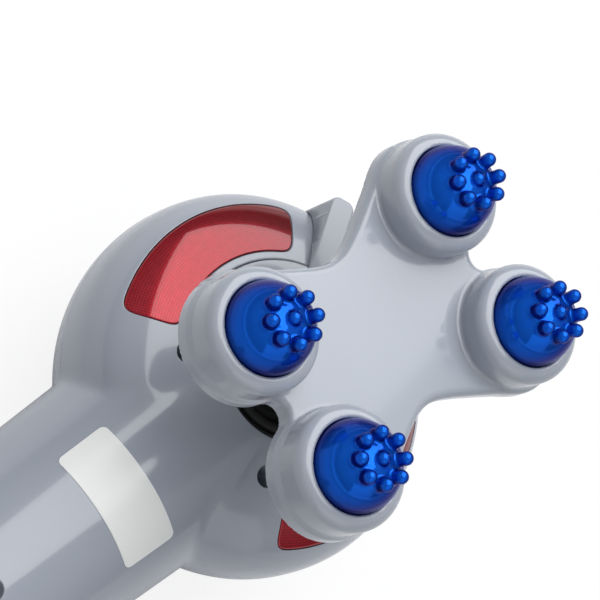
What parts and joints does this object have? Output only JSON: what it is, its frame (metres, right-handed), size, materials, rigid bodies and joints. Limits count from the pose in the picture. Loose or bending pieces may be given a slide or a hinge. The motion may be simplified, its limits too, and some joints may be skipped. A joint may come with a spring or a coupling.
{
  "type": "electric vibration massager",
  "caption": "Handheld vibration massager with a round head, red warming windows, and a lift-off cross-shaped attachment with nubbed domes that turn in its cups.",
  "frame": {"origin": "centre of the flat on the back of the head, on which the massager rests", "axes": "+Z from the back of the head to its face and on to the rollers, +X from the head along the handle, +Y across the handle"},
  "size_m": [0.3952, 0.124, 0.1597],
  "materials": {
    "grey_shell": "gloss moulded plastic",
    "pale_plate": "gloss moulded plastic",
    "blue_dome": "polished, partly clear",
    "blue_base": "gloss",
    "red_window": "gloss outside, fine grid behind",
    "lamp_glass": "clear coloured lamps on a board",
    "black_plastic": "satin",
    "black_rubber": "matte",
    "steel": "plated",
    "alloy": "as cast",
    "bearing_brass": "sintered",
    "copper": "varnished winding and bars",
    "magnet": "ferrite",
    "white_nylon": "matte",
    "circuit_board": "coated laminate",
    "white_label": "smooth blank film"
  },
  "bodies": {
    "body": {"front_casing": "grey_shell", "back_casing": "grey_shell", "window_left": "red_window", "window_right": "red_window", "warming_lamps_left": "lamp_glass", "warming_lamps_right": "lamp_glass", "casing_screw_1": "steel", "casing_screw_2": "steel", "casing_screw_3": "steel", "casing_screw_4": "steel", "rubber_boot": "black_rubber", "boot_retainer": "black_plastic", "retainer_screw_1": "steel", "retainer_screw_2": "steel", "retainer_screw_3": "steel", "rubber_bush_1": "black_rubber", "rubber_bush_2": "black_rubber", "rubber_bush_3": "black_rubber", "motor_carrier": "alloy", "motor_can": "steel", "field_magnet_1": "magnet", "field_magnet_2": "magnet", "motor_end_cap": "black_plastic", "brush_gear": "black_plastic", "lower_bearing": "bearing_brass", "upper_bearing": "bearing_brass", "control_board": "circuit_board", "speed_potentiometer": "black_plastic", "switch_housing": "black_plastic", "cord_inlet_bush": "black_rubber", "bare_label": "white_label"},
    "rotor": {"motor_shaft": "steel", "armature": "copper", "commutator": "copper", "cooling_fan": "white_nylon", "eccentric_weight": "steel"},
    "lever": {"release_lever": "pale_plate", "release_ring": "black_plastic"},
    "attachment": {"attachment_shell": "pale_plate", "attachment_back": "pale_plate", "socket_collar": "black_plastic", "collar_screw_1": "steel", "collar_screw_2": "steel", "collar_screw_3": "steel", "roller_pin_1": "steel", "roller_pin_2": "steel", "roller_pin_3": "steel", "roller_pin_4": "steel"},
    "roller_1": {"roller_dome_1": "blue_dome", "roller_base_1": "blue_base"},
    "roller_2": {"roller_dome_2": "blue_dome", "roller_base_2": "blue_base"},
    "roller_3": {"roller_dome_3": "blue_dome", "roller_base_3": "blue_base"},
    "roller_4": {"roller_dome_4": "blue_dome", "roller_base_4": "blue_base"},
    "dial": {"speed_dial": "black_plastic"},
    "rocker": {"mode_rocker": "black_plastic"}
  },
  "joints": [
    {"name": "rotor_spin", "type": "hinge", "parent": "body", "child": "rotor", "pos_m": [0, 0, 0.05], "axis": [0, 0, 1], "continuous": true},
    {"name": "lever_swing", "type": "hinge", "parent": "body", "child": "lever", "pos_m": [0, 0, 0.08], "axis": [0, 0, -1], "range_deg": [0, 20]},
    {"name": "attachment_lift", "type": "slide", "parent": "body", "child": "attachment", "axis": [0, 0, 1], "range_m": [0, 0.045]},
    {"name": "roller_1_spin", "type": "hinge", "parent": "attachment", "child": "roller_1", "pos_m": [-0.043, -0.0234, 0.143], "axis": [0, 0, 1], "continuous": true},
    {"name": "roller_2_spin", "type": "hinge", "parent": "attachment", "child": "roller_2", "pos_m": [0.038, -0.0234, 0.143], "axis": [0, 0, 1], "continuous": true},
    {"name": "roller_3_spin", "type": "hinge", "parent": "attachment", "child": "roller_3", "pos_m": [-0.043, 0.0234, 0.143], "axis": [0, 0, 1], "continuous": true},
    {"name": "roller_4_spin", "type": "hinge", "parent": "attachment", "child": "roller_4", "pos_m": [0.038, 0.0234, 0.143], "axis": [0, 0, 1], "continuous": true},
    {"name": "dial_turn", "type": "hinge", "parent": "body", "child": "dial", "pos_m": [0.13582, 0, 0.01808], "axis": [0, 1, 0], "range_deg": [0, 270]},
    {"name": "rocker_tilt", "type": "hinge", "parent": "body", "child": "rocker", "pos_m": [0.17731, 0, 0.01027], "axis": [0, 1, 0], "range_deg": [-9, 9]}
  ]
}
